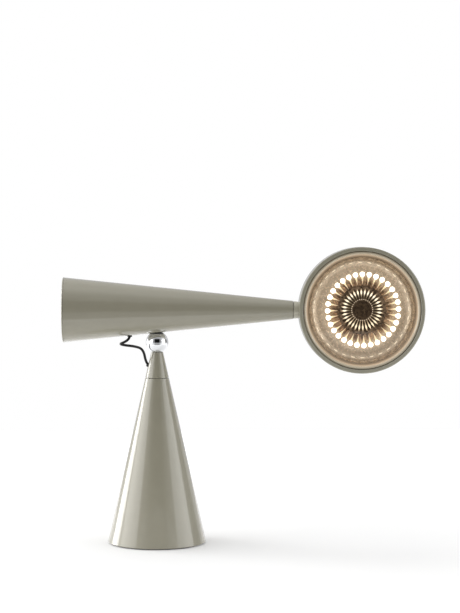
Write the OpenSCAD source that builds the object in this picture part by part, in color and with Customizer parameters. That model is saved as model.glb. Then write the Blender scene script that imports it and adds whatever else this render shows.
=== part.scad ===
// Cone desk lamp: a cone foot whose tip turns, a steel ball, a cone arm that
// balances on the ball, and a round head that turns about the arm's axis.
// Millimetres. +Z is up, +X runs along the arm to the head, the head faces -Y.
// The origin is on the foot's axis, on the surface that the lamp stands on.

/* [Foot] */
// Diameter of the cone foot at the table
foot_d = 137.4; // [130:0.2:142]
// Radius lost for each millimetre of the foot's height
foot_taper = 0.2275; // [0.22:0.0005:0.232]
// Height of the seam under the turning tip
seam_h = 230.1; // [218:0.1:232]
// Height of the tip's top edge
tip_top = 265.9; // [265:0.1:266.5]
// Wall of the spun cones
wall = 2; // [1.6:0.1:3]
// Height of the iron ballast
ballast_h = 28; // [20:1:45]

/* [Ball] */
// Diameter of the steel ball
ball_d = 31; // [28:0.5:34]
// Height of the ball's centre
ball_z = 279.5; // [279:0.1:280]

/* [Arm] */
// Height of the arm's axis
arm_z = 324.4; // [323:0.1:326]
// X of the arm's wide end
arm_back = -130.7; // [-140:0.1:-120]
// X of the seam before the neck
arm_front = 189.3; // [185:0.1:192]
// Radius of the wide end
arm_r = 45.3; // [44:0.1:47]
// Radius at the neck seam
neck_r = 12.8; // [12:0.1:14]
// Thickness of the counterweight
weight_t = 42; // [12:0.5:44]

/* [Head] */
// X of the head's axis
head_x = 284.8; // [284:0.1:286]
// Radius of the head
head_r = 88; // [87.5:0.1:88.5]
// Distance from the arm's axis to the head's front edge
head_front = 16; // [15:0.5:18]
// Radius of the glass
glass_r = 78; // [77.5:0.1:78.2]
// Radius of the ring of LEDs
led_ring_r = 50; // [49:0.5:51]
// Number of LEDs, and of fins on the core
led_count = 32; // [24:4:36]
// Radius of the finned core
core_r = 31; // [30:0.5:32]

/* [Link lead] */
// Diameter of the lead between the arm and the tip
lead_d = 3.6; // [3:0.1:4]

/* [Hidden] */
$fn = 96;

paint = [0.64, 0.64, 0.58];
brass = [0.78, 0.62, 0.32];
steel = [0.62, 0.63, 0.65];
black = [0.09, 0.09, 0.09];
iron = [0.25, 0.25, 0.26];

foot_r = foot_d / 2;
gap = 0.6;              // height of the seams between turning parts
run = 0.05;             // running clearance of a shaft in its bush
shaft_r = 5;            // both spindles are hollow M10 tubes
lead_hole_r = 3;        // way through a spindle for the lead
shell_foot = 1.5;       // the shell's lower edge stands clear of the table
plate_z = 2.5;
plate_t = 3;
ballast_z = plate_z + plate_t;
boss_h = 21;            // solid top of the foot's shell, which holds the bush
ball_r = ball_d / 2;
seat_gap = 0.3;         // play between the ball and the surfaces round it
tip_z = seam_h + 0.3;
stop_r = 11.4;          // the stop pin's distance from the swivel's axis
stop_pin_r = 1.2;
arm_len = arm_front - arm_back;
arm_taper = (arm_r - neck_r) / arm_len;
arm_wall = 1.5;
solid_x = 150;          // the arm is solid from here to its neck seam
lead_exit_x = -38;
neck_x = arm_front + gap;
hex_r = 9.2;            // corner radius of the M10 nuts
stop_arc = 330;         // arc that each stop pin runs in
stop_play = 0.4;        // clearance beside a stop pin in its arc
neck_stop_r = 9.4;      // the neck's stop pin's distance from the arm's axis
screw_angles = [30, 150, 270];
head_screw_angles = [90, 210, 330];

function foot_radius(z) = foot_r - foot_taper * z;
function arm_radius(x) = neck_r + (arm_front - x) * arm_taper;

// local +Z runs along the arm, from the arm's axis at the ball
module along_arm(x = 0) translate([x, 0, arm_z]) rotate([0, 90, 0]) children();
// local +Z points out of the head's front, from the head's centre
module in_head() translate([head_x, 0, arm_z]) rotate([90, 0, 0]) children();
module tube(outer, inner, h) difference() {
    cylinder(r = outer, h = h);
    translate([0, 0, -1]) cylinder(r = inner, h = h + 2);
}
module hex_nut(h) difference() {
    cylinder(r = hex_r, h = h, $fn = 6);
    translate([0, 0, -1]) cylinder(r = shaft_r + 0.02, h = h + 2);
}

module pin_arc(r) rotate(-stop_arc / 2) rotate_extrude(angle = stop_arc)
    translate([r - stop_pin_r - stop_play, 0]) square([2 * (stop_pin_r + stop_play), 4]);

// ---- foot ----
foot_ring_r = 64;
screw_ring = 40;
screw_r = 2.5;

module foot_ring() color(black) rotate_extrude()
    polygon([[50, 0], [foot_ring_r - 0.6, 0], [foot_ring_r, 0.6],
        [foot_ring_r, plate_z], [50, plate_z]]);

module base_plate() color(steel) difference() {
    translate([0, 0, plate_z]) cylinder(r = foot_radius(0) - wall - 1.7, h = plate_t);
    for (a = screw_angles) rotate(a) translate([screw_ring, 0, 0]) cylinder(r = screw_r + 0.1, h = 9);
}

gland_z = 14;
module at_gland() translate([0, foot_radius(gland_z), gland_z])
    rotate([atan(foot_taper) - 90, 0, 0]) children();
module ballast() color(iron) difference() {
    translate([0, 0, ballast_z]) cylinder(r1 = foot_radius(ballast_z) - wall - 0.6,
        r2 = foot_radius(ballast_z + ballast_h) - wall - 0.6, h = ballast_h);
    translate([0, 0, ballast_z - 1]) cylinder(r = 9, h = ballast_h + 2);
    for (a = screw_angles) rotate(a) translate([screw_ring, 0, 0]) cylinder(r = screw_r + 0.1, h = 20);
    // channel for the mains lead, from the gland to the middle
    translate([-8, 0, gland_z - 7]) cube([16, foot_r, ballast_h]);
}

module base_shell() color(paint) difference() {
    rotate_extrude() polygon([
        [foot_radius(shell_foot) - wall, shell_foot],
        [foot_radius(shell_foot) - 0.5, shell_foot],
        [foot_radius(shell_foot + 0.7), shell_foot + 0.7],
        [foot_radius(seam_h - 0.5), seam_h - 0.5],
        [foot_radius(seam_h) - 0.5, seam_h - 0.3],
        [8, seam_h - 0.3],
        [8, seam_h - boss_h],
        [foot_radius(seam_h - boss_h) - wall, seam_h - boss_h]]);
    at_gland() translate([0, 0, -9]) cylinder(r = 5, h = 12);
    rotate(180) translate([stop_r, 0, seam_h - 7]) cylinder(r = stop_pin_r, h = 9);
}

module base_screws() color(steel) for (a = screw_angles) rotate(a) translate([screw_ring, 0, 0]) {
    translate([0, 0, plate_z - 1.8]) cylinder(r = 4.4, h = 1.8);
    translate([0, 0, plate_z - 1]) cylinder(r = screw_r, h = 16);
}

// blind rubber bushing at the rear, where the mains lead enters
module inlet_gland() color(black) at_gland() difference() {
    union() {
        translate([0, 0, -8]) cylinder(r = 4.9, h = 9);
        translate([0, 0, 0.1]) cylinder(r = 7, h = 2.3);
        translate([0, 0, 2.4]) cylinder(r1 = 4.8, r2 = 3.8, h = 6);
    }
    translate([0, 0, -2]) cylinder(r = 2.4, h = 12);
}

module swivel_bush() color(brass) translate([0, 0, seam_h - boss_h])
    tube(8, shaft_r + run, boss_h - 0.3);
module thrust_washer() color([0.9, 0.9, 0.86]) translate([0, 0, seam_h - 0.3])
    tube(8.6, shaft_r + 0.3, gap);
module stop_pin() color(steel) rotate(180) translate([stop_r, 0, seam_h - 7])
    cylinder(r = stop_pin_r, h = 9);

// ---- turning tip ----
magnet_z = tip_top - 13.1;
seat_z = tip_top - 6.5;
cavity_top = tip_top - 19.9;
entry = [-11.5, 0, 247];         // where the lead goes into the tip
entry_tilt = 140;                // the hole's slope into the tip
module entry_hole(r, near, far) translate(entry) rotate([0, entry_tilt, 0])
    translate([0, 0, -near]) cylinder(r = r, h = near + far);

module tip_cone() color(paint) difference() {
    rotate_extrude() polygon([
        [0, tip_z], [foot_radius(tip_z) - 0.3, tip_z], [foot_radius(tip_z + 0.3), tip_z + 0.3],
        [foot_radius(tip_top - 0.3), tip_top - 0.3], [foot_radius(tip_top) - 0.3, tip_top],
        [0, tip_top]]);
    translate([0, 0, tip_z - 1]) cylinder(r = shaft_r, h = 9);
    cylinder(r = 3.6, h = cavity_top);
    entry_hole(2.7, 6, 11);
    // arc for the foot's stop pin, which stands at 180 degrees
    translate([0, 0, tip_z - 1]) rotate(180) pin_arc(stop_r);
    translate([0, 0, magnet_z]) cylinder(r = 4.2, h = 20);
    translate([0, 0, seat_z]) cylinder(r = 6.4, h = 20);
    translate([0, 0, ball_z]) sphere(r = ball_r + seat_gap);
}
module spindle() color(steel) translate([0, 0, seam_h - boss_h - 10])
    tube(shaft_r, lead_hole_r, tip_z + 8 - (seam_h - boss_h - 10));
module spindle_nut() color(steel) translate([0, 0, seam_h - boss_h - 7.4]) hex_nut(5.6);
module wave_washer() color(steel) translate([0, 0, seam_h - boss_h - 1.8]) tube(9, shaft_r + 0.1, 1.6);
module tip_magnet() color(steel) translate([0, 0, magnet_z]) cylinder(r = 4.1, h = 6.4);
module seat_ring() color([0.9, 0.9, 0.86]) difference() {
    translate([0, 0, seat_z]) tube(6.4, 4, 8);
    translate([0, 0, ball_z]) sphere(r = ball_r + seat_gap);
    translate([0, 0, tip_top - 0.6]) cylinder(r = 9, h = 9);
}
module tip_grommet() color(black) difference() {
    union() {
        entry_hole(2.6, 2.4, 5.5);
        // flange, which stops at the tip's painted surface
        difference() {
            translate(entry) rotate([0, entry_tilt, 0]) translate([0, 0, -3]) cylinder(r1 = 2.7, r2 = 3.5, h = 2.6);
            rotate_extrude($fn = 96) polygon([[0, tip_z], [foot_radius(tip_z) + 0.1, tip_z],
                [foot_radius(tip_top) + 0.1, tip_top], [0, tip_top]]);
        }
    }
    entry_hole(lead_d / 2 + 0.25, 9, 20);
}

// ---- ball ----
module ball() color([0.85, 0.86, 0.88]) translate([0, 0, ball_z]) sphere(r = ball_r, $fn = 96);

// ---- arm ----
module arm_inside(less = 0) along_arm() rotate_extrude() polygon([
    [0, arm_back + 4], [arm_radius(arm_back + 4) - arm_wall - less, arm_back + 4],
    [arm_radius(solid_x) - arm_wall - less, solid_x], [0, solid_x]]);

module arm_shell() color(paint) difference() {
    along_arm() rotate_extrude() polygon([
        [arm_radius(arm_back + 2.2) - arm_wall, arm_back + 2.2],
        [arm_radius(arm_back + 2.2), arm_back + 2.2],
        [arm_radius(arm_front - 0.4), arm_front - 0.4], [neck_r - 0.4, arm_front],
        [7, arm_front], [7, solid_x], [arm_radius(solid_x) - arm_wall, solid_x]]);
    translate([0, 0, ball_z]) cylinder(r = 9.4, h = 30);
    translate([0, 0, ball_z]) sphere(r = ball_r + seat_gap, $fn = 96);
    translate([lead_exit_x, 0, ball_z]) cylinder(r = 3.2, h = 30);
    along_arm(arm_front - 6) translate([0, neck_stop_r, 0]) cylinder(r = stop_pin_r, h = 9);
}
module arm_cap() color(paint) difference() {
    union() {
        along_arm(arm_back) rotate_extrude() polygon(concat([[0, 0]],
            [for (a = [0:15:90]) [arm_r - 1.2 + 1.2 * sin(a), 1.2 - 1.2 * cos(a)]],
            [[arm_radius(arm_back + 1.9), 1.9], [0, 1.9]]));
        along_arm(arm_back + 1.8) tube(arm_radius(arm_back + 6) - arm_wall - 0.1, 38, 4);
        along_arm(arm_back + 1.8) cylinder(r = 8, h = 4);
    }
    along_arm(arm_back + 2.2) cylinder(r = 4.1, h = 9);
}
module cap_bolt() color(steel) along_arm(arm_back + 2.3) cylinder(r = 4, h = weight_t + 9);
weight_x = arm_back + 6.2;
module counterweight() color(iron) difference() {
    along_arm(weight_x) cylinder(r1 = arm_radius(weight_x) - arm_wall - 0.3,
        r2 = arm_radius(weight_x + weight_t) - arm_wall - 0.3, h = weight_t);
    along_arm(weight_x - 1) cylinder(r = 4.1, h = weight_t + 2);
}
// steel cup over the hole in the arm's underside, which the ball sits in
socket_top = ball_z + 23.5;
arm_magnet_z = ball_z + 16.9;
module ball_socket() color(steel) difference() {
    intersection() {
        translate([0, 0, ball_z]) cylinder(r = 13.5, h = socket_top - ball_z);
        arm_inside(0.1);
    }
    translate([0, 0, ball_z]) sphere(r = ball_r + seat_gap);
    translate([0, 0, ball_z]) cylinder(r = 9.4, h = 14);
    translate([0, 0, arm_magnet_z]) cylinder(r = 8.1, h = 20);
}
module arm_magnet() color(steel) translate([0, 0, arm_magnet_z]) cylinder(r = 8, h = 6.6);
// cross plate that carries the socket's load into the arm's wall
module socket_bridge() color(steel) intersection() {
    translate([-17, -40, socket_top]) cube([34, 80, 3]);
    arm_inside(0.1);
}
module arm_grommet() color(black) translate([lead_exit_x, 0, arm_z - arm_radius(lead_exit_x)]) difference() {
    union() {
        translate([0, 0, -1.5]) cylinder(r1 = 3.0, r2 = 3.7, h = 0.7);
        translate([0, 0, -0.8]) cylinder(r = 3.1, h = 6);
    }
    translate([0, 0, -9]) cylinder(r = lead_d / 2 + 0.1, h = 20);
    // flared mouth, so that the lead can bend without chafing
    translate([0, 0, -1.6]) cylinder(r1 = 2.55, r2 = lead_d / 2, h = 2.3);
}
tray_x = -79;
tray_z = arm_z - 14;
module driver_tray() color([0.75, 0.76, 0.78]) intersection() {
    translate([tray_x, -arm_r, tray_z]) cube([52, 2 * arm_r, 2]);
    arm_inside(0.1);
}
module driver() color([0.93, 0.93, 0.9]) translate([tray_x + 3, -15, tray_z + 2]) difference() {
    cube([46, 30, 22]);
    for (x = [5, 41]) translate([x, 15, 18]) cylinder(r = 1.5, h = 9);
}
module neck_bush() color(brass) along_arm(solid_x) tube(7, shaft_r + run, arm_front - solid_x);
module neck_washer() color([0.9, 0.9, 0.86]) along_arm(arm_front) tube(7.6, shaft_r + 0.3, gap);
module neck_stop_pin() color(steel) along_arm(arm_front - 6) translate([0, neck_stop_r, 0])
    cylinder(r = stop_pin_r, h = 8.4);

// ---- head ----
head_wall = 1.6;
side_back = 12;          // the straight side ends this far behind the arm's axis
back_r = 14;             // flat at the middle of the cone back
back_taper = foot_taper;
back_depth = side_back + (head_r - back_r) * back_taper;

module neck() color(paint) difference() {
    along_arm(neck_x) rotate_extrude() polygon([[0, 0], [12.1, 0], [12.4, 0.3], [11.1, 12], [0, 12]]);
    in_head() translate([0, 0, -40]) cylinder(r = head_r, h = 80, $fn = 180);
    along_arm(neck_x - 1) cylinder(r = shaft_r, h = 20);
    // arc for the arm's stop pin, which stands at 90 degrees
    along_arm(neck_x - 1) rotate(90) pin_arc(neck_stop_r);
}
module neck_spindle() color(steel) along_arm(solid_x - 9) tube(shaft_r, lead_hole_r, 64);
module neck_nut() color(steel) along_arm(solid_x - 6.4) hex_nut(6);
module head_nut() color(steel) along_arm(head_x - head_r + head_wall + 0.7) hex_nut(4.6);

module head_shell() color(paint) difference() {
    in_head() rotate_extrude($fn = 180) polygon([
        [head_r - 5.4, head_front - 8],
        [head_r - 5.4, head_front - 0.5],
        [head_r - 4.9, head_front],
        [head_r - 1.4, head_front],
        [head_r - 0.4, head_front - 0.4],
        [head_r, head_front - 1.4],
        [head_r, 1 - side_back],
        [head_r - 0.9, -side_back - 0.4],
        [back_r + 1, -back_depth],
        [0, -back_depth],
        [0, head_wall - back_depth],
        [back_r, head_wall - back_depth],
        [head_r - head_wall - 0.4, head_wall - side_back],
        [head_r - head_wall, head_wall - side_back + 0.6],
        [head_r - head_wall, head_front - 8]]);
    along_arm(head_x - head_r - 2) cylinder(r = shaft_r + 0.05, h = 9);
    for (a = head_screw_angles) in_head() rotate(a) translate([24, 0, -40]) cylinder(r = 2.1, h = 40);
}
bezel_r = head_r - 6.4;
module bezel_ring() color(paint) difference() {
    in_head() rotate_extrude($fn = 180) polygon([
        [bezel_r - 3.4, head_front - 8], [bezel_r, head_front - 8],
        [bezel_r, head_front - 1], [bezel_r - 0.6, head_front - 0.4],
        [bezel_r - 2.2, head_front - 0.4], [bezel_r - 3.4, head_front - 1.6]]);
    // notch for prising the ring out, beside the neck
    in_head() rotate(181.5) translate([bezel_r - 0.9, -2, head_front - 4]) cube([3, 4, 6]);
}
glass_back = head_front - 3.8;
module glass() color([0.95, 0.93, 0.88, 0.35]) in_head() rotate_extrude($fn = 180) polygon([
    [0, glass_back], [glass_r, glass_back], [glass_r, head_front - 2.4],
    [glass_r - 0.8, head_front - 1.6], [0, head_front - 1.6]]);
module glass_gasket() color(black) in_head() translate([0, 0, glass_back - 1.2]) tube(glass_r, 74.5, 1.2);

// champagne bowl between the glass and the core
bowl_front = glass_back - 1.3;
bowl_back = -6;
bowl_edge_r = 74;
bowl_floor_r = 56;
module reflector() color([0.72, 0.63, 0.5]) in_head() difference() {
    rotate_extrude($fn = 180) polygon(concat(
        [[77.5, bowl_front - 1.4], [77.5, bowl_front], [bowl_edge_r, bowl_front]],
        [for (i = [1:8]) let (a = 11.25 * i)
            [bowl_edge_r - (bowl_edge_r - bowl_floor_r) * (1 - cos(a)) - 0.001,
             bowl_front - (bowl_front - bowl_back - 2) * sin(a)]],
        [[core_r + 1, bowl_back + 2], [core_r + 1, bowl_back], [bowl_floor_r, bowl_back]],
        [for (i = [7:-1:1]) let (a = 11.25 * i)
            [bowl_edge_r + 1.4 - (bowl_edge_r + 1.4 - bowl_floor_r) * (1 - cos(a)),
             bowl_front - 1.4 - (bowl_front - 1.4 - bowl_back) * sin(a)]]));
    for (i = [0:led_count - 1]) rotate(i * 360 / led_count + 1.5)
        translate([led_ring_r, 0, bowl_back - 1]) cylinder(r = 3.4, h = 5);
}
module led_board() color([0.9, 0.9, 0.88]) in_head() translate([0, 0, bowl_back - 1.6]) tube(64, core_r + 1, 1.5);
module leds() color([1, 0.93, 0.75]) in_head() for (i = [0:led_count - 1]) rotate(i * 360 / led_count + 1.5)
    translate([led_ring_r, 0, bowl_back - 0.1]) intersection() {
        cylinder(r = 3.2, h = 4);
        translate([0, 0, -1.5]) sphere(r = 4.6, $fn = 32);
    }
module core() color([0.2, 0.16, 0.11]) in_head() difference() {
    union() {
        translate([0, 0, bowl_back - 1.6]) cylinder(r = core_r, h = 3.6);
        for (i = [0:led_count - 1]) rotate(i * 360 / led_count + 7)
            translate([14.8, -0.6, bowl_back + 1.5]) cube([core_r - 16, 1.2, 3]);
        translate([0, 0, bowl_back + 1.5]) tube(15.6, 14, 3.2);
    }
    translate([0, 0, bowl_back - 3]) cylinder(r = 1.8, h = 9);
}
module core_cap() color([0.15, 0.12, 0.08]) in_head() difference() {
    translate([0, 0, bowl_back + 2.1]) rotate_extrude() polygon([
        [0, 0], [13.9, 0], [13.9, 2.2], [13.2, 2.9], [0, 2.9]]);
    translate([0, 0, bowl_back]) cylinder(r = 1.8, h = 3.2);
}
back_slope = (back_depth - side_back) / (head_r - head_wall - 0.4 - back_r);
sink_t = 2.6;
module heat_sink() color([0.75, 0.76, 0.78]) in_head() difference() {
    union() {
        translate([0, 0, bowl_back - 1.7 - sink_t]) cylinder(r = 62, h = sink_t);
        for (a = head_screw_angles) rotate(a) translate([24, 0, head_wall - back_depth + 0.1])
            cylinder(r = 5, h = back_depth - head_wall + bowl_back - 1.8 - sink_t + 1);
    }
    for (a = head_screw_angles) rotate(a) translate([24, 0, -40]) cylinder(r = 2.1, h = 32);
    translate([0, 0, -20]) cylinder(r = 3, h = 30);
    // the posts end on the slope of the shell's back
    rotate_extrude() polygon([[0, -60], [head_r, -60],
        [head_r, head_wall + 0.1 - back_depth + (head_r - back_r) * back_slope],
        [back_r, head_wall + 0.1 - back_depth], [0, head_wall + 0.1 - back_depth]]);
}
module head_screws() color(steel) in_head() for (a = head_screw_angles) rotate(a) translate([24, 0, 0]) {
    translate([0, 0, -back_depth + 1.5]) cylinder(r = 2, h = 14);
}

// ---- link lead ----
// The lead's centre line, from the arm's underside to the tip
upper_route = [[-38, 0, 289.5], [-38.3, 0, 287], [-39.4, -0.2, 284.6], [-41.3, -0.9, 282.5],
    [-43.8, -2.3, 280.8], [-46.5, -4.5, 279.5], [-48.9, -7.4, 278.6], [-50.1, -10.9, 278],
    [-49.7, -14.6, 277.5], [-47.4, -17.6, 277], [-43.9, -19.2, 276.5], [-40, -19.3, 276]];
lower_route = [[-40, -19.3, 276], [-36.2, -18.3, 275.5], [-32.4, -16.4, 274.8], [-28.8, -14, 273.9],
    [-25.1, -11.4, 272.7], [-21.9, -8.8, 270.6], [-19.6, -6.3, 267.5], [-18.1, -4.1, 263.8],
    [-17.2, -2.3, 259.9], [-16.3, -0.9, 256], [-14.6, -0.2, 251.4], [-11.5, 0, 247]];
lead_sides = 8;
function unit(v) = v / norm(v);
function heading(p, i) = unit(p[min(i + 1, len(p) - 1)] - p[max(i - 1, 0)]);
function ring_at(p, i, first, last) =
    let (t = i == 0 ? first : i == len(p) - 1 ? last : heading(p, i),
         u = unit(cross(t, [0, 1, 0.2])), v = cross(t, u))
    [for (k = [0:lead_sides - 1]) let (a = 360 * k / lead_sides)
        p[i] + lead_d / 2 * (cos(a) * u + sin(a) * v)];
module lead(p, first, last) {
    n = len(p);
    points = [for (i = [0:n - 1]) each ring_at(p, i, first, last)];
    sides = [for (i = [0:n - 2]) for (k = [0:lead_sides - 1])
        let (a = i * lead_sides, b = (k + 1) % lead_sides)
        each [[a + k, a + lead_sides + k, a + lead_sides + b], [a + k, a + lead_sides + b, a + b]]];
    start_face = [for (k = [0:lead_sides - 1]) k];
    end_face = [for (k = [lead_sides - 1:-1:0]) (n - 1) * lead_sides + k];
    polyhedron(points, concat([start_face], sides, [end_face]), convexity = 6);
}
mid_heading = unit(lower_route[1] - upper_route[len(upper_route) - 2]);
module link_lead_upper() color(black) lead(upper_route, [0, 0, -1], mid_heading);
module link_lead_lower() color(black) lead(lower_route, mid_heading,
    [sin(entry_tilt), 0, cos(entry_tilt)]);

foot_ring();
base_plate();
ballast();
base_shell();
base_screws();
inlet_gland();
swivel_bush();
thrust_washer();
stop_pin();
tip_cone();
spindle();
spindle_nut();
wave_washer();
tip_magnet();
seat_ring();
tip_grommet();
link_lead_lower();
ball();
arm_shell();
arm_cap();
cap_bolt();
counterweight();
ball_socket();
arm_magnet();
socket_bridge();
arm_grommet();
driver_tray();
driver();
neck_bush();
neck_washer();
neck_stop_pin();
link_lead_upper();
neck();
neck_spindle();
neck_nut();
head_nut();
head_shell();
bezel_ring();
glass();
glass_gasket();
reflector();
led_board();
leds();
core();
core_cap();
heat_sink();
head_screws();
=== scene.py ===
"""Looks for the cone desk lamp: finishes, light, lead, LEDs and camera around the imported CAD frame."""
import math

import bmesh
import bpy
from mathutils import Euler, Matrix, Vector


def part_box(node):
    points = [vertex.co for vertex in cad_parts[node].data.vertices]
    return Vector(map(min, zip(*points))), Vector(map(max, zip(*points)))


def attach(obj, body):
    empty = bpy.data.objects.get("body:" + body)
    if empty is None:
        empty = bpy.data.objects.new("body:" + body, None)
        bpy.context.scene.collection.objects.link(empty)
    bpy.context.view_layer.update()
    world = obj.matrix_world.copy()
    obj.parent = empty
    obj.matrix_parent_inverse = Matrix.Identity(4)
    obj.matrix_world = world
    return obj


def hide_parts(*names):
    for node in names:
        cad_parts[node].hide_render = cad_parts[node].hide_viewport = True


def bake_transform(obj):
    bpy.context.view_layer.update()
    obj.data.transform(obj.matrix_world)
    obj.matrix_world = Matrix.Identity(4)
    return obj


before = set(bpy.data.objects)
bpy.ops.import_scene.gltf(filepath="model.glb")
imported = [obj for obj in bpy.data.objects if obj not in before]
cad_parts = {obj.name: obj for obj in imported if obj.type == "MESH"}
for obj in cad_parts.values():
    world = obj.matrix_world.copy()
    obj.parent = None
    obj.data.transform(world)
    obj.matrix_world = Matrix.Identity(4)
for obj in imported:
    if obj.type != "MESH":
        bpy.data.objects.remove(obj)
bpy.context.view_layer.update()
scene = bpy.context.scene
scene.view_settings.view_transform = "Standard"

MM = 0.001


# ---- places, worked out from the frame ----
def middle(node):
    low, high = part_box(node)
    return (Vector(low) + Vector(high)) / 2


HEAD = middle("glass")            # on the head's axis
BOWL_WALL = 2                     # thickness of the bowl's floor, in mm
BOWL_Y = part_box("reflector")[1][1] - BOWL_WALL * MM      # the front of the bowl's flat floor
BOWL_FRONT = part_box("reflector")[0][1]

# ---- the head's optics: radii are from the axis, and all but the turns are in mm ----
LED_COUNT = 32
LED_TURN = math.radians(1.5)      # where the first LED stands, as in the CAD
STREAK_TURN = LED_TURN + math.radians(1.2)
LED_RING_R = 50
LED_R = 3.45
TAIL_TIP = 35.5                   # the end of an LED's tail, nearest the axis
BOWL_R = 74                       # the mouth of the bowl, inside its flange
BOWL_CURVE = 18                   # how far the curved wall reaches in from the mouth
FLANGE_R = 77.4
FLANGE = 1.4                      # its thickness
DISH_R = 15.6                     # inner edge of the core's dished ring
DISH_WIDTH = 15.2
DISH_RISE = 0.9
BEAD_RING_R = 14.9
BEAD_R = 0.6
DASH_RING_R = 66.7
DASH_HALF = (3.4, 0.65)           # half of a dash's length and of its width
LIFT = 0.05                       # how far streaks and dashes stand off what carries them


# ---- camera ----
CAMERA_PLACE = (0.0111, -2.474, 0.430)
CAMERA_LENS = 104.5               # in mm, on a sensor 36 mm wide
CAMERA_TURN, CAMERA_DIP, CAMERA_ROLL = -2.09, 2.33, 0.1     # in degrees


def add_camera():
    data = bpy.data.cameras.new("camera")
    data.sensor_width = 36
    data.lens = CAMERA_LENS
    camera = bpy.data.objects.new("camera", data)
    camera.location = CAMERA_PLACE
    yaw, pitch = math.radians(CAMERA_TURN), math.radians(90 - CAMERA_DIP)
    roll = math.radians(CAMERA_ROLL)
    camera.matrix_world = (
        Matrix.Translation(camera.location)
        @ Euler((pitch, 0, yaw)).to_matrix().to_4x4()
        @ Matrix.Rotation(roll, 4, "Z")
    )
    scene.collection.objects.link(camera)
    scene.camera = camera


add_camera()


# ---- link lead: its centre line, from the arm's underside to the tip ----
LEAD_D = 3.6 * MM
UPPER_ROUTE = [
    (-38, 0, 289.5), (-38.3, 0, 287), (-39.4, -0.2, 284.6), (-41.3, -0.9, 282.5),
    (-43.8, -2.3, 280.8), (-46.5, -4.5, 279.5), (-48.9, -7.4, 278.6), (-50.1, -10.9, 278),
    (-49.7, -14.6, 277.5), (-47.4, -17.6, 277), (-43.9, -19.2, 276.5), (-40, -19.3, 276),
]
LOWER_ROUTE = [
    (-40, -19.3, 276), (-36.2, -18.3, 275.5), (-32.4, -16.4, 274.8), (-28.8, -14, 273.9),
    (-25.1, -11.4, 272.7), (-21.9, -8.8, 270.6), (-19.6, -6.3, 267.5), (-18.1, -4.1, 263.8),
    (-17.2, -2.3, 259.9), (-16.3, -0.9, 256), (-14.6, -0.2, 251.4), (-11.5, 0, 247),
]


def smooth_route(points, steps=6):
    """Catmull-Rom curve through the points."""
    ends = [points[0] * 2 - points[1]] + points + [points[-1] * 2 - points[-2]]
    curve = []
    for a, b, c, d in zip(ends, ends[1:], ends[2:], ends[3:]):
        for k in range(steps):
            t = k / steps
            curve.append(
                0.5 * ((2 * b) + (c - a) * t + (2 * a - 5 * b + 4 * c - d) * t**2
                       + (3 * b - a - 3 * c + d) * t**3)
            )
    return curve + [points[-1]]


def new_piece(name, mesh, material, smooth=True):
    piece = bpy.data.objects.new(name, mesh)
    scene.collection.objects.link(piece)
    mesh.materials.append(material)
    if smooth:
        mesh.polygons.foreach_set("use_smooth", [True] * len(mesh.polygons))
    return piece


def sweep(path, radius, sides=20):
    """Closed tube of constant radius along the path."""
    verts, faces = [], []
    normal = Vector((0, 1, 0.2)).normalized()
    for i, point in enumerate(path):
        ahead = (path[min(i + 1, len(path) - 1)] - path[max(i - 1, 0)]).normalized()
        normal = (normal - ahead * normal.dot(ahead)).normalized()
        side = ahead.cross(normal)
        for k in range(sides):
            a = 2 * math.pi * k / sides
            verts.append(point + radius * (math.cos(a) * normal + math.sin(a) * side))
    for i in range(len(path) - 1):
        for k in range(sides):
            a, b = i * sides + k, i * sides + (k + 1) % sides
            faces.append((a, b, b + sides, a + sides))
    faces.append(tuple(range(sides))[::-1])
    faces.append(tuple((len(path) - 1) * sides + k for k in range(sides)))
    mesh = bpy.data.meshes.new("tube")
    mesh.from_pydata(verts, [], faces)
    mesh.validate()
    bm = bmesh.new()
    bm.from_mesh(mesh)
    bmesh.ops.recalc_face_normals(bm, faces=bm.faces)
    bm.to_mesh(mesh)
    bm.free()
    return mesh


# ---- materials ----
def material(name, colour, roughness=0.5, metallic=0.0, **more):
    made = bpy.data.materials.new(name)
    made.use_nodes = True
    shader = made.node_tree.nodes["Principled BSDF"]
    shader.inputs["Base Color"].default_value = (*colour, 1)
    shader.inputs["Roughness"].default_value = roughness
    shader.inputs["Metallic"].default_value = metallic
    for key, value in more.items():
        shader.inputs[key.replace("_", " ")].default_value = value
    return made


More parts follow.
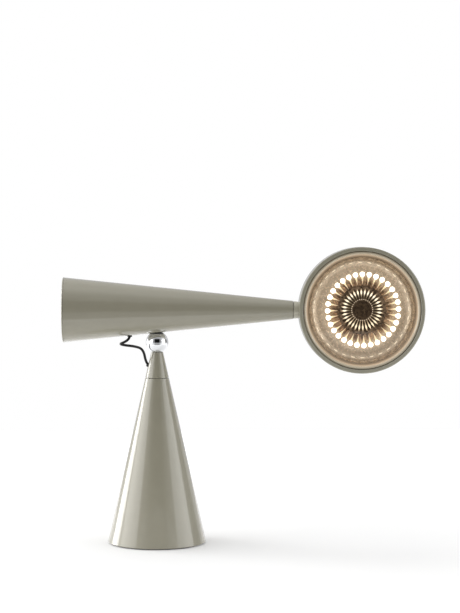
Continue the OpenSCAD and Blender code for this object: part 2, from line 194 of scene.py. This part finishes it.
class Nodes:
    """Short calls for one material's node tree."""

    def __init__(self, made):
        self.tree = made.node_tree
        self.shader = self.tree.nodes["Principled BSDF"]

    def add(self, kind, **settings):
        node = self.tree.nodes.new(kind)
        for key, value in settings.items():
            setattr(node, key, value)
        return node

    def link(self, source, target):
        self.tree.links.new(source, target)

    def value(self, source, target):
        if isinstance(source, (int, float)):
            target.default_value = source
        else:
            self.link(source, target)

    def math(self, operation, a, b=0.0, c=None, clamp=False):
        node = self.add("ShaderNodeMath", operation=operation, use_clamp=clamp)
        self.value(a, node.inputs[0])
        self.value(b, node.inputs[1])
        if c is not None:
            self.value(c, node.inputs[2])
        return node.outputs[0]

    def object_point(self):
        return self.add("ShaderNodeTexCoord").outputs["Object"]

    def polar(self, centre=(0, 0)):
        """Distance in metres and angle round the head's axis, or round a centre beside it."""
        axes = self.add("ShaderNodeSeparateXYZ")
        self.link(self.object_point(), axes.inputs[0])
        x = self.math("SUBTRACT", axes.outputs["X"], HEAD.x + centre[0])
        z = self.math("SUBTRACT", axes.outputs["Z"], HEAD.z + centre[1])
        square = self.math("ADD", self.math("MULTIPLY", x, x), self.math("MULTIPLY", z, z))
        return self.math("SQRT", square), self.math("ARCTAN2", z, x)

    def spokes(self, around, along):
        """A point for noise that changes fast round the head's axis and slowly along a radius."""
        distance, angle = self.polar()
        made = self.add("ShaderNodeCombineXYZ")
        self.link(self.math("MULTIPLY", self.math("COSINE", angle), around), made.inputs[0])
        self.link(self.math("MULTIPLY", self.math("SINE", angle), around), made.inputs[1])
        self.link(self.math("MULTIPLY", distance, along), made.inputs[2])
        return made.outputs[0]

    def rings(self, distance, stops):
        """Colour by distance from the axis; the stops are in millimetres."""
        far = stops[-1][0]
        share = self.math("DIVIDE", distance, far * MM, clamp=True)
        return self.ramp(share, [(place / far, colour) for place, colour in stops])

    def noise(self, point, scale, detail=3.0, roughness=0.5):
        node = self.add("ShaderNodeTexNoise")
        self.link(point, node.inputs["Vector"])
        node.inputs["Scale"].default_value = scale
        node.inputs["Detail"].default_value = detail
        node.inputs["Roughness"].default_value = roughness
        return node.outputs["Fac"]

    def ramp(self, source, stops):
        node = self.add("ShaderNodeValToRGB")
        ramp = node.color_ramp
        while len(ramp.elements) < len(stops):
            ramp.elements.new(0.5)
        for element, (place, colour) in zip(ramp.elements, stops):
            element.position = place
            element.color = (*colour, 1)
        self.link(source, node.inputs["Fac"])
        return node.outputs["Color"]

    def mix(self, factor, a, b):
        node = self.add("ShaderNodeMix", data_type="RGBA")
        self.value(factor, node.inputs["Factor"])
        for source, target in ((a, node.inputs["A"]), (b, node.inputs["B"])):
            if isinstance(source, tuple):
                target.default_value = (*source, 1)
            else:
                self.link(source, target)
        return node.outputs["Result"]

    def span(self, source, low, high, to_low=0.0, to_high=1.0):
        node = self.add("ShaderNodeMapRange", interpolation_type="SMOOTHSTEP")
        self.link(source, node.inputs["Value"])
        node.inputs["From Min"].default_value = low
        node.inputs["From Max"].default_value = high
        node.inputs["To Min"].default_value = to_low
        node.inputs["To Max"].default_value = to_high
        return node.outputs["Result"]

    def bump(self, height, strength, distance):
        node = self.add("ShaderNodeBump")
        node.inputs["Strength"].default_value = strength
        node.inputs["Distance"].default_value = distance
        self.link(height, node.inputs["Height"])
        self.link(node.outputs["Normal"], self.shader.inputs["Normal"])


def enamel(name="enamel", tone=(0.31, 0.293, 0.225)):
    """Semi-gloss grey-beige enamel: a faint orange-peel surface and slight mottling."""
    made = material(name, tone, 0.25, Coat_Weight=1.0, Coat_Roughness=0.04)
    n = Nodes(made)
    point = n.object_point()
    mottle = n.span(n.noise(point, 60, 4), 0.3, 0.7)
    deep, pale = (tuple(share * level for share in tone) for level in (0.985, 1.015))
    n.link(n.mix(mottle, deep, pale), n.shader.inputs["Base Color"])
    n.link(n.span(n.noise(point, 140, 3), 0.3, 0.7, 0.22, 0.27), n.shader.inputs["Roughness"])
    n.bump(n.noise(point, 900, 2), 0.015, 0.0001)
    return made


def lit_enamel():
    """The bezel's enamel, with a warm glow on its inner lip that stands for the LEDs' light."""
    made = enamel("enamel_bezel")
    shader = made.node_tree.nodes["Principled BSDF"]
    shader.inputs["Emission Strength"].default_value = 1.0
    n = Nodes(made)
    distance = n.polar()[0]
    n.link(n.rings(distance, [(77, (0.36, 0.28, 0.19)), (79.2, (0.22, 0.165, 0.11)),
                              (80.6, (0.07, 0.045, 0.025)), (82, (0.02, 0.012, 0.006))]),
           n.shader.inputs["Emission Color"])
    return made


def plain_metal(name, colour, roughness):
    made = material(name, colour, roughness, 1.0)
    n = Nodes(made)
    point = n.object_point()
    n.link(n.span(n.noise(point, 220, 4), 0.3, 0.7, roughness * 0.8, roughness * 1.3),
           n.shader.inputs["Roughness"])
    n.bump(n.noise(point, 1500, 2), 0.05, 0.0001)
    return made


def rubber(name, colour, roughness):
    made = material(name, colour, roughness, Specular_IOR_Level=0.3)
    n = Nodes(made)
    point = n.object_point()
    n.link(n.span(n.noise(point, 300, 3), 0.3, 0.7, roughness * 0.85, roughness * 1.2),
           n.shader.inputs["Roughness"])
    n.bump(n.noise(point, 2500, 2), 0.08, 0.0001)
    return made


ENAMEL = enamel()
CHROME = plain_metal("chrome", (0.80, 0.81, 0.83), 0.03)
LEAD_BLACK = rubber("lead_black", (0.004, 0.004, 0.004), 0.3)
RUBBER = rubber("rubber_black", (0.02, 0.02, 0.02), 0.6)
ZINC = plain_metal("zinc", (0.55, 0.56, 0.58), 0.35)
BRASS = plain_metal("brass", (0.62, 0.46, 0.2), 0.3)
NICKEL = plain_metal("nickel", (0.66, 0.64, 0.6), 0.16)
# The ball socket's zinc is made near black: painted shade for its shadowed hollow, which the chrome ball
# reflects.
PAINTED_SHADE_ZINC = plain_metal("zinc_painted_shade", (0.045, 0.045, 0.05), 0.4)
NYLON = rubber("nylon", (0.72, 0.71, 0.67), 0.45)
CASE = rubber("driver_case", (0.78, 0.78, 0.74), 0.42)


def cast_iron():
    """Sand-cast iron: dark, rough and pitted."""
    made = material("cast_iron", (0.09, 0.085, 0.08), 0.7, 0.6)
    n = Nodes(made)
    point = n.object_point()
    grain = n.noise(point, 420, 5, 0.6)
    n.link(n.mix(n.span(grain, 0.3, 0.7), (0.07, 0.064, 0.06), (0.13, 0.122, 0.115)),
           n.shader.inputs["Base Color"])
    n.link(n.span(grain, 0.3, 0.7, 0.8, 0.58), n.shader.inputs["Roughness"])
    n.bump(grain, 0.4, 0.0004)
    return made


def brushed(name, colour, roughness):
    """Drawn or brushed metal, with its fine lines along the lamp's length."""
    made = material(name, colour, roughness, 1.0)
    n = Nodes(made)
    stretch = n.add("ShaderNodeVectorMath", operation="MULTIPLY")
    n.link(n.object_point(), stretch.inputs[0])
    stretch.inputs[1].default_value = (0.05, 1, 1)
    lines = n.noise(stretch.outputs[0], 2600, 3)
    n.link(n.span(lines, 0.3, 0.7, roughness * 0.7, roughness * 1.35), n.shader.inputs["Roughness"])
    n.bump(lines, 0.12, 0.0001)
    return made


def champagne():
    """Satin champagne bowl with painted light from its LEDs: its colour also glows, with painted shade
    in brown spokes inside their ring and up the wall, painted reflection patches and painted glints.
    """
    made = material("champagne", (0.62, 0.5, 0.36), 0.3, BOWL_METAL, Emission_Strength=BOWL_PAINTED_GLOW)
    n = Nodes(made)
    distance = n.polar()[0]
    point = n.object_point()
    # Painted light and shade by radius: dark by the core, brightest from the LEDs to the mid wall,
    # painted shade at 70 to 75 mm, lighter again at the flange.
    base = n.rings(distance, [
        (30, (0.14, 0.095, 0.06)), (34, (0.34, 0.225, 0.14)), (36, (0.5, 0.33, 0.2)),
        (41, (0.62, 0.42, 0.25)), (46, (0.8, 0.6, 0.4)), (55, (0.86, 0.69, 0.51)),
        (60, (0.6, 0.47, 0.34)), (67, (0.62, 0.5, 0.37)), (70, (0.34, 0.265, 0.19)),
        (73, (0.18, 0.135, 0.09)), (75, (0.2, 0.15, 0.105)), (78, (0.4, 0.33, 0.25))])
    inside = n.span(distance, 46 * MM, 39 * MM)
    # Painted shade: brown spokes between the LEDs' tails, inside their ring.
    spokes = n.span(n.noise(n.spokes(9, 60), 1.0, 3, 0.6), 0.36, 0.62)
    dark = n.math("MULTIPLY", n.math("MULTIPLY", inside, spokes), 0.85)
    # Painted reflection patches: darker brown mottling all over.
    painted_reflection_patches = n.math("MULTIPLY", n.span(n.noise(point, 170, 4, 0.6), 0.35, 0.68), 0.3)
    # Painted glints: bright orange specks inside the LEDs' ring.
    painted_glints = n.math("MULTIPLY", inside, n.span(n.noise(point, 620, 2, 0.5), 0.48, 0.66))
    ground = n.mix(painted_glints, n.mix(painted_reflection_patches, base, (0.36, 0.25, 0.15)), (0.95, 0.52, 0.27))
    colour = n.mix(dark, ground, (0.075, 0.045, 0.03))
    n.link(colour, n.shader.inputs["Base Color"])
    # The colour also glows: painted light from the LEDs, not a lamp.
    n.link(colour, n.shader.inputs["Emission Color"])
    n.link(n.span(n.noise(point, 260, 3), 0.3, 0.7, 0.16, 0.32), n.shader.inputs["Roughness"])
    n.bump(n.noise(point, 130, 2), 0.25, 0.0006)
    return made


def bronze():
    """Dark polished bronze with fine turning marks; it glows faintly warm, painted light from the LEDs
    that is brightest at the hub's edge and at the rim.
    """
    made = material("bronze", (0.06, 0.042, 0.026), 0.25, 1.0, Emission_Strength=0.6)
    n = Nodes(made)
    distance = n.polar(CORE_SHIFT)[0]
    point = n.object_point()
    painted_led_glow = n.rings(distance, [
        (0, (0.08, 0.052, 0.03)), (13, (0.085, 0.056, 0.034)), (14.5, (0.34, 0.25, 0.17)),
        (16, (0.06, 0.043, 0.025)), (28, (0.1, 0.07, 0.042)), (30.5, (0.3, 0.205, 0.13)),
        (32.6, (0.27, 0.18, 0.115)), (34.2, (0.11, 0.075, 0.048))])
    # The glow, dimmed in random patches, is painted light, not a lamp.
    n.link(n.mix(n.span(n.noise(point, 240, 3), 0.35, 0.7), painted_led_glow, (0.03, 0.018, 0.012)),
           n.shader.inputs["Emission Color"])
    n.link(n.span(n.noise(point, 200, 4), 0.3, 0.7, 0.18, 0.34), n.shader.inputs["Roughness"])
    n.bump(n.math("SINE", n.math("MULTIPLY", distance, 9000)), 0.05, 0.0001)
    return made


def glowing(name, colour, rings, strength, centre=(0, 0), lower=None):
    """Glowing part whose light follows the distance from its ring's centre; lower, if given, is a
    painted highlight on its lower side.
    """
    made = material(name, colour, 0.25, Emission_Strength=strength)
    n = Nodes(made)
    distance, angle = n.polar(centre)
    light = n.rings(distance, rings)
    if lower:
        light = n.mix(n.span(n.math("SINE", angle), -0.1, -0.75), light, n.rings(distance, lower))
    n.link(light, n.shader.inputs["Emission Color"])
    n.bump(n.noise(n.object_point(), 900, 2), 0.05, 0.0001)
    return made


def glowing_evenly(name, colour, light, strength):
    """Part that glows in one colour all over: painted light."""
    made = material(name, colour, 0.25, Emission_Color=(*light, 1), Emission_Strength=strength)
    n = Nodes(made)
    n.bump(n.noise(n.object_point(), 900, 2), 0.05, 0.0001)
    return made


BOWL_METAL = 0.5
# strength of the bowl's painted glow
BOWL_PAINTED_GLOW = 0.28
LED_STRENGTH = 4.0
# how far the LEDs and the core stand beside the head's axis, in metres along X and Z
LED_SHIFT = (0.0029, 0.0)
CORE_SHIFT = (0.0014, 0.0)
IRON = cast_iron()
ALUMINIUM = brushed("bare_aluminium", (0.72, 0.73, 0.75), 0.3)
BRONZE = bronze()
BOWL = champagne()
# The LED lenses are the lamps; the dim glow on their tails, nearer the axis, is painted light.
LED = glowing("led", (0.8, 0.7, 0.5), [
    (34, (0.05, 0.03, 0.015)), (38, (0.12, 0.08, 0.045)), (43, (0.2, 0.155, 0.095)),
    (46.0, (0.25, 0.22, 0.14)), (47.2, (0.9, 0.87, 0.77)), (52.4, (0.9, 0.87, 0.77)),
    (53.6, (0.24, 0.215, 0.15)), (55, (0.2, 0.16, 0.11))], LED_STRENGTH, LED_SHIFT)
# Painted highlights: streaks of the LEDs' light on the core, brighter on their lower side.
PAINTED_STREAK = glowing("streak", (0.1, 0.07, 0.04), [
    (14, (0.05, 0.036, 0.022)), (17, (0.16, 0.115, 0.07)), (20.5, (0.5, 0.41, 0.27)),
    (23.5, (1.5, 1.3, 0.98)), (26, (1.5, 1.28, 0.95)), (28.5, (0.7, 0.53, 0.34)),
    (30, (0.3, 0.21, 0.13))], 1.0, CORE_SHIFT, lower=[
    (14, (0.5, 0.36, 0.22)), (17, (0.75, 0.56, 0.36)), (20.5, (0.95, 0.75, 0.5)),
    (23.5, (1.3, 1.1, 0.78)), (26, (1.3, 1.08, 0.75)), (28.5, (0.8, 0.6, 0.39)),
    (30, (0.36, 0.25, 0.16))])
# Painted reflections of the LEDs on the bowl's wall.
PAINTED_DASH = glowing("dash", (0.6, 0.5, 0.36), [
    (60, (0.6, 0.5, 0.37)), (66.7, (0.75, 0.65, 0.5)), (76, (0.6, 0.5, 0.37))], 1.0)
# The glass gasket glows: painted light, brightest at its outer edge by the glass.
PAINTED_LIGHT_SEAL = glowing("seal_painted_light", (0.5, 0.42, 0.32), [
    (73.5, (0.13, 0.1, 0.07)), (75.8, (0.18, 0.14, 0.1)), (77, (0.4, 0.335, 0.26)),
    (78, (0.6, 0.52, 0.42))], 0.8)
# Painted glints: the beads on the core's hub glow evenly.
PAINTED_GLINT_BEAD = glowing_evenly("bead_painted_glint", (0.5, 0.42, 0.3), (0.75, 0.6, 0.44), 0.8)


def clear_glass():
    """Polished glass; rays from lamps pass straight through, so that what is behind it is lit."""
    made = material("glass", (0.985, 0.98, 0.96), 0.01, Transmission_Weight=1.0, IOR=1.45)
    n = Nodes(made)
    n.link(n.span(n.noise(n.object_point(), 90, 3), 0.35, 0.75, 0.005, 0.02),
           n.shader.inputs["Roughness"])
    open_way = n.add("ShaderNodeBsdfTransparent")
    choose = n.add("ShaderNodeMixShader")
    n.link(n.add("ShaderNodeLightPath").outputs["Is Shadow Ray"], choose.inputs["Fac"])
    n.link(n.shader.outputs[0], choose.inputs[1])
    n.link(open_way.outputs[0], choose.inputs[2])
    n.link(choose.outputs[0], n.tree.nodes["Material Output"].inputs["Surface"])
    return made


GLASS = clear_glass()


def dress(node, made):
    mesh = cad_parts[node].data
    mesh.materials.clear()
    mesh.materials.append(made)


for names, made in (
    (("base_shell", "tip_cone", "arm_shell", "arm_cap", "head_shell"), ENAMEL),
    # The neck's enamel is a lighter copy of the arm's: painted light, for the neck looking brighter next
    # to the head.
    (("neck",), enamel("enamel_neck_painted_light", (0.5, 0.475, 0.375))),
    (("bezel_ring",), lit_enamel()),
    (("ball",), CHROME),
    (("foot_ring", "inlet_gland", "tip_grommet", "arm_grommet"), RUBBER),
    (("glass_gasket",), PAINTED_LIGHT_SEAL),
    (("core_cap",), BRONZE),
    (("glass",), GLASS),
    (("base_plate", "base_screws", "head_screws", "stop_pin", "spindle", "spindle_nut",
      "wave_washer", "cap_bolt", "counterweight", "socket_bridge", "neck_stop_pin",
      "neck_spindle", "neck_nut", "head_nut"), ZINC),
    # The socket's near-black zinc is painted shade for its shadowed hollow.
    (("ball_socket",), PAINTED_SHADE_ZINC),
    (("tip_magnet", "arm_magnet"), NICKEL),
    (("swivel_bush", "neck_bush"), BRASS),
    (("thrust_washer", "neck_washer", "seat_ring"), NYLON),
    (("ballast",), IRON),
    (("driver_tray", "led_board", "heat_sink"), ALUMINIUM),
    (("driver",), CASE),
):
    for node in names:
        dress(node, made)


def add_lead(name, node, route):
    path = smooth_route([Vector(p) * MM for p in route])
    length = sum((b - a).length for a, b in zip(path, path[1:]))
    piece = new_piece(name, sweep(path, LEAD_D / 2), LEAD_BLACK)
    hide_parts(node)
    tuple(path[0])
    [tuple(p) for p in path]
    tuple(path[0])
    tuple(path[-1])
    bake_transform(piece)


add_lead("lead_upper", "link_lead_upper", UPPER_ROUTE)
add_lead("lead_lower", "link_lead_lower", LOWER_ROUTE)


# ---- optics of the head ----
def at_head(distance, angle, y, centre):
    return Vector((HEAD.x + centre[0] + distance * math.cos(angle), y,
                   HEAD.z + centre[1] + distance * math.sin(angle)))


def lathe(name, profile, made, sides=256, centre=(0, 0)):
    """Closed ring from (distance, y) points in mm, turned about the head's axis or one beside it."""
    verts, faces = [], []
    count = len(profile)
    for k in range(sides):
        for distance, y in profile:
            verts.append(at_head(distance * MM, 2 * math.pi * k / sides, y * MM, centre))
    for k in range(sides):
        for i in range(count):
            a, b = k * count + i, k * count + (i + 1) % count
            c, d = (b + count) % len(verts), (a + count) % len(verts)
            faces.append((a, b, c, d))
    mesh = bpy.data.meshes.new(name)
    mesh.from_pydata(verts, [], faces)
    return close_up(name, mesh, made)


def close_up(name, mesh, made, sharp=35):
    bm = bmesh.new()
    bm.from_mesh(mesh)
    bmesh.ops.recalc_face_normals(bm, faces=bm.faces)
    bm.to_mesh(mesh)
    bm.free()
    piece = new_piece(name, mesh, made)
    mesh.set_sharp_from_angle(angle=math.radians(sharp))
    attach(piece, "head")
    return piece


def lenses(name, made, inner, outer, width, rise, base, turn, count=LED_COUNT, rows=22, across=9,
           centre=(0, 0)):
    """A ring of crowned lens shapes that point at the axis; width and rise are functions in mm."""
    verts, faces = [], []
    for k in range(count):
        angle = turn + 2 * math.pi * k / count
        out = Vector((math.cos(angle), 0, math.sin(angle)))
        along = Vector((-math.sin(angle), 0, math.cos(angle)))
        start = len(verts)
        for i in range(rows):
            share = 0.5 - 0.5 * math.cos(math.pi * i / (rows - 1))
            distance = inner + (outer - inner) * share
            half, top = width(distance), rise(distance)
            for j in range(across):
                t = math.sin(math.pi / 2 * (2 * j / (across - 1) - 1))
                crown = 0 if i in (0, rows - 1) else top * math.sqrt(max(0, 1 - t * t))
                spot = out * distance * MM + along * t * half * MM
                spot.y = (base(distance) - crown) * MM
                verts.append(spot + Vector((HEAD.x + centre[0], 0, HEAD.z + centre[1])))
        for i in range(rows - 1):
            for j in range(across - 1):
                a = start + i * across + j
                faces.append((a, a + 1, a + across + 1, a + across))
        rim = [start + j for j in range(across)]
        rim += [start + i * across + across - 1 for i in range(1, rows)]
        rim += [start + (rows - 1) * across + j for j in range(across - 2, -1, -1)]
        rim += [start + i * across for i in range(rows - 2, 0, -1)]
        faces.append(tuple(rim))
    mesh = bpy.data.meshes.new(name)
    mesh.from_pydata(verts, [], faces)
    return close_up(name, mesh, made)


def wall_y(distance):
    """The bowl's y in mm at a distance from the axis: flat floor, then a quarter-ellipse wall."""
    floor, front = BOWL_Y / MM, BOWL_FRONT / MM
    if distance <= BOWL_R - BOWL_CURVE:
        return floor
    rise = math.acos(max(-1, min(1, 1 - (BOWL_R - distance) / BOWL_CURVE)))
    return front + (floor - front) * math.sin(rise)


def add_bowl():
    back = BOWL_Y / MM + BOWL_WALL
    front = wall_y(BOWL_R)

    def quarter(radius, curve, start, depth, steps):
        """A quarter of an ellipse from (radius, start): inwards by curve, and back by depth."""
        turns = [math.pi / 2 * i / steps for i in range(steps + 1)]
        return [(radius - curve * (1 - math.cos(a)), start + depth * math.sin(a)) for a in turns]

    wall = quarter(BOWL_R, BOWL_CURVE, front, back - BOWL_WALL - front, 24)
    outside = quarter(BOWL_R + FLANGE, BOWL_CURVE + FLANGE, front + FLANGE, back - front - FLANGE, 12)
    flange = [(FLANGE_R, front + FLANGE), (FLANGE_R, front)]
    opening = [(32.2, back - BOWL_WALL), (32, back - 1.8), (32, back)]
    bowl = lathe("bowl", flange + wall + opening + outside[::-1], BOWL)
    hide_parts("reflector")


def add_leds():
    """Each LED has a round lens, the lamp, with a tail towards the core whose dim glow is painted light.
    """
    def width(d):
        head = math.sqrt(max(0, LED_R**2 - (d - LED_RING_R) ** 2))
        tail = 0.2 + 1.3 * (d - TAIL_TIP) / 10.5 if d < LED_RING_R else 0
        return max(head, tail, 0.05)

    def rise(d):
        return 0.45 + 1.5 * math.exp(-((d - LED_RING_R) / 3.6) ** 2)

    lens = lenses("led_lenses", LED, TAIL_TIP, LED_RING_R + LED_R, width, rise,
                  lambda d: BOWL_Y / MM + 0.1, LED_TURN, rows=34, centre=LED_SHIFT)
    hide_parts("leds")


def add_core():
    """A dished ring with a raised hub and a thin rim, with streaks standing on it and beads on its hub
    that glow as painted highlights.
    """
    floor = BOWL_Y / MM
    steps = [i / 16 for i in range(17)]
    hub = [(2, floor), (14, floor), (14, floor - 2.6), (14.3, floor - 2.8), (15.3, floor - 2.8),
           (DISH_R, floor - 2.5)]
    ring = [(DISH_R + DISH_WIDTH * t, floor - DISH_RISE * t * t) for t in steps]
    rim = [(31.4, floor - 0.95), (33.4, floor - 0.7), (34.2, floor - 0.1)]
    skirt = [(31, floor - 0.1), (31, floor + 3.6), (2, floor + 3.6)]
    dish = lathe("core_dish", hub + ring + rim + skirt, BRONZE, centre=CORE_SHIFT)
    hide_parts("core")

    def streak_width(d):
        return 0.28 + 0.92 * math.exp(-((d - 24.8) / 3.6) ** 2)

    def dish_y(d):
        return floor - DISH_RISE * max(0, (d - DISH_R) / DISH_WIDTH) ** 2 + LIFT

    streaks = lenses("core_painted_streaks", PAINTED_STREAK, 15.8, 30.2, streak_width, lambda d: 1.1, dish_y,
                     STREAK_TURN, centre=CORE_SHIFT)
    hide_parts("core")

    def bead_width(d):
        return math.sqrt(max(0, BEAD_R**2 - (d - BEAD_RING_R) ** 2))

    beads = lenses("core_beads", PAINTED_GLINT_BEAD, BEAD_RING_R - BEAD_R, BEAD_RING_R + BEAD_R, bead_width,
                   lambda d: 0.45, lambda d: floor - 2.75, STREAK_TURN, rows=7, across=7,
                   centre=CORE_SHIFT)


def add_dashes():
    """Short bright marks on the bowl's wall, one behind each LED: painted reflections of the LEDs."""
    half_length, half_width = DASH_HALF

    def width(d):
        return half_length * math.sqrt(max(0, 1 - ((d - DASH_RING_R) / half_width) ** 2))

    dashes = lenses("bowl_painted_reflections", PAINTED_DASH, DASH_RING_R - half_width, DASH_RING_R + half_width, width,
                    lambda d: 0.3, lambda d: wall_y(d) + LIFT, LED_TURN, rows=9, across=11)


add_bowl()
add_leds()
add_core()
add_dashes()


# ---- studio ----
FLOOR_GLOW = (0.12, 0.42)         # near the lamp, and far from it
FLOOR_FRONT, FLOOR_BACK = -0.52, 1.4    # towards the camera, and behind the lamp
FLOOR_SIDE = 4
TOP_LIGHT = 2.0                   # the radiance of each softbox
LEFT_LIGHT = 4.8
BOUNCE_LIGHT = 0.4
SIDE_LIGHT = 1.6
RIGHT_LIGHT = 1.2
ROOM_LIGHT = 2.0
# How bright the room is from front to back, from left to right and from below to above.
ROOM_DEPTH = ((-1.0, 0.2), (-0.87, 0.2), (-0.6, 0.42), (-0.1, 0.9), (0.4, 0.65), (1.0, 0.42))
ROOM_SIDE = ((-1.0, 1.0), (-0.3, 0.8), (0.3, 0.85), (1.0, 0.8))
ROOM_HEIGHT = ((-1.0, 1.0), (0.2, 1.0), (1.0, 0.8))
# A dark panel behind the lamp's right side: the direction it lies in, and the share of the room's
# light that is left, by the cosine of the angle to that direction.
DARK_PANEL = (0.93, 0.36, 0.05)
PANEL_EDGE = ((0.9, 1.0), (0.955, 1.0), (0.975, 0.35), (1.0, 0.35))
# A black card in front of the lamp, on the camera's side: its width, height and depth.
CARD_SIDE = ((-0.46, 0.0), (-0.4, 1.0), (0.4, 1.0), (0.46, 0.0))
CARD_HEIGHT = ((-0.6, 0.0), (-0.54, 1.0), (0.54, 1.0), (0.62, 0.0))
CARD_DEPTH = ((-0.2, 1.0), (0.0, 0.0))
CARD_LIGHT = 0.03                 # the share of the room's light that is left on the card


def add_floor():
    mesh = bpy.data.meshes.new("floor")
    corners = [(-FLOOR_SIDE, FLOOR_FRONT, 0), (FLOOR_SIDE, FLOOR_FRONT, 0),
               (FLOOR_SIDE, FLOOR_BACK, 0), (-FLOOR_SIDE, FLOOR_BACK, 0)]
    mesh.from_pydata(corners, [], [(0, 1, 2, 3)])
    white = material("floor", (0.82, 0.82, 0.82), 0.9, Emission_Color=(1, 1, 1, 1))
    n = Nodes(white)
    distance = n.add("ShaderNodeVectorMath", operation="LENGTH")
    n.link(n.object_point(), distance.inputs[0])
    n.link(n.span(distance.outputs["Value"], 0.3, 1.2, *FLOOR_GLOW),
           n.shader.inputs["Emission Strength"])
    new_piece("floor", mesh, white)


def add_light(name, place, target, size, radiance, mirrored=True):
    """A softbox of the given radiance; the camera doesn't see it, and gloss only if mirrored."""
    data = bpy.data.lights.new(name, "AREA")
    data.shape = "RECTANGLE"
    data.size, data.size_y = size
    data.energy = radiance * math.pi * size[0] * size[1]
    light = bpy.data.objects.new(name, data)
    light.location = place
    light.rotation_euler = (Vector(target) - Vector(place)).to_track_quat("-Z", "Y").to_euler()
    light.visible_camera = False
    light.visible_glossy = mirrored
    scene.collection.objects.link(light)


def add_world():
    """A white background for the camera. The room that lights the lamp is dim in front of it."""
    world = bpy.data.worlds.new("world")
    world.use_nodes = True
    tree = world.node_tree
    white = tree.nodes["Background"]
    white.inputs["Color"].default_value = (1, 1, 1, 1)
    white.inputs["Strength"].default_value = 1.0
    room = tree.nodes.new("ShaderNodeBackground")
    axes = tree.nodes.new("ShaderNodeSeparateXYZ")
    tree.links.new(tree.nodes.new("ShaderNodeTexCoord").outputs["Generated"], axes.inputs[0])

    def curve(socket, low, high, stops):
        """A smooth curve through (place, value) stops, along one direction."""
        spread = tree.nodes.new("ShaderNodeMapRange")
        spread.inputs["From Min"].default_value = low
        spread.inputs["From Max"].default_value = high
        tree.links.new(socket, spread.inputs["Value"])
        ramp = tree.nodes.new("ShaderNodeValToRGB")
        ramp.color_ramp.interpolation = "EASE"
        while len(ramp.color_ramp.elements) < len(stops):
            ramp.color_ramp.elements.new(0.5)
        for element, (place, value) in zip(ramp.color_ramp.elements, stops):
            element.position = (place - low) / (high - low)
            element.color = (value, value, value, 1)
        tree.links.new(spread.outputs["Result"], ramp.inputs["Fac"])
        return ramp.outputs["Color"]

    def times(a, b):
        node = tree.nodes.new("ShaderNodeMath")
        node.operation = "MULTIPLY"
        for socket, value in zip(node.inputs, (a, b)):
            if isinstance(value, float):
                socket.default_value = value
            else:
                tree.links.new(value, socket)
        return node.outputs[0]

    depth = curve(axes.outputs["Y"], -1.0, 1.0, ROOM_DEPTH)
    side = curve(axes.outputs["X"], -1.0, 1.0, ROOM_SIDE)
    height = curve(axes.outputs["Z"], -1.0, 1.0, ROOM_HEIGHT)
    toward = tree.nodes.new("ShaderNodeVectorMath")
    toward.operation = "DOT_PRODUCT"
    toward.inputs[1].default_value = DARK_PANEL
    tree.links.new(axes.inputs[0].links[0].from_socket, toward.inputs[0])
    panel = curve(toward.outputs["Value"], 0.9, 1.0, PANEL_EDGE)
    light = times(times(depth, side), times(height, ROOM_LIGHT))
    across = curve(axes.outputs["X"], -1.0, 1.0, CARD_SIDE)
    upward = curve(axes.outputs["Z"], -1.0, 1.0, CARD_HEIGHT)
    ahead = curve(axes.outputs["Y"], -1.0, 1.0, CARD_DEPTH)
    card = curve(times(times(across, upward), ahead), 0.0, 1.0, ((0.0, 1.0), (1.0, CARD_LIGHT)))
    tree.links.new(times(times(light, panel), card), room.inputs["Strength"])
    mix = tree.nodes.new("ShaderNodeMixShader")
    tree.links.new(tree.nodes.new("ShaderNodeLightPath").outputs["Is Camera Ray"], mix.inputs["Fac"])
    tree.links.new(room.outputs[0], mix.inputs[1])
    tree.links.new(white.outputs[0], mix.inputs[2])
    tree.links.new(mix.outputs[0], tree.nodes["World Output"].inputs["Surface"])
    scene.world = world


add_floor()
add_world()
add_light("top", (-0.3, 0.35, 1.7), (0.1, 0.0, 0.2), (1.3, 1.0), TOP_LIGHT, mirrored=False)
add_light("left", (-1.45, 0.68, 0.5), (0, 0, 0.25), (0.75, 1.2), LEFT_LIGHT)
add_light("bounce", (0.1, -0.45, 0.02), (0.1, -0.1, 0.4), (1.4, 0.7), BOUNCE_LIGHT)
add_light("side_left", (-1.6, -0.5, 0.5), (0, 0, 0.25), (1.4, 1.2), SIDE_LIGHT)
add_light("side_right", (1.6, -0.5, 0.5), (0, 0, 0.25), (1.4, 1.2), RIGHT_LIGHT)
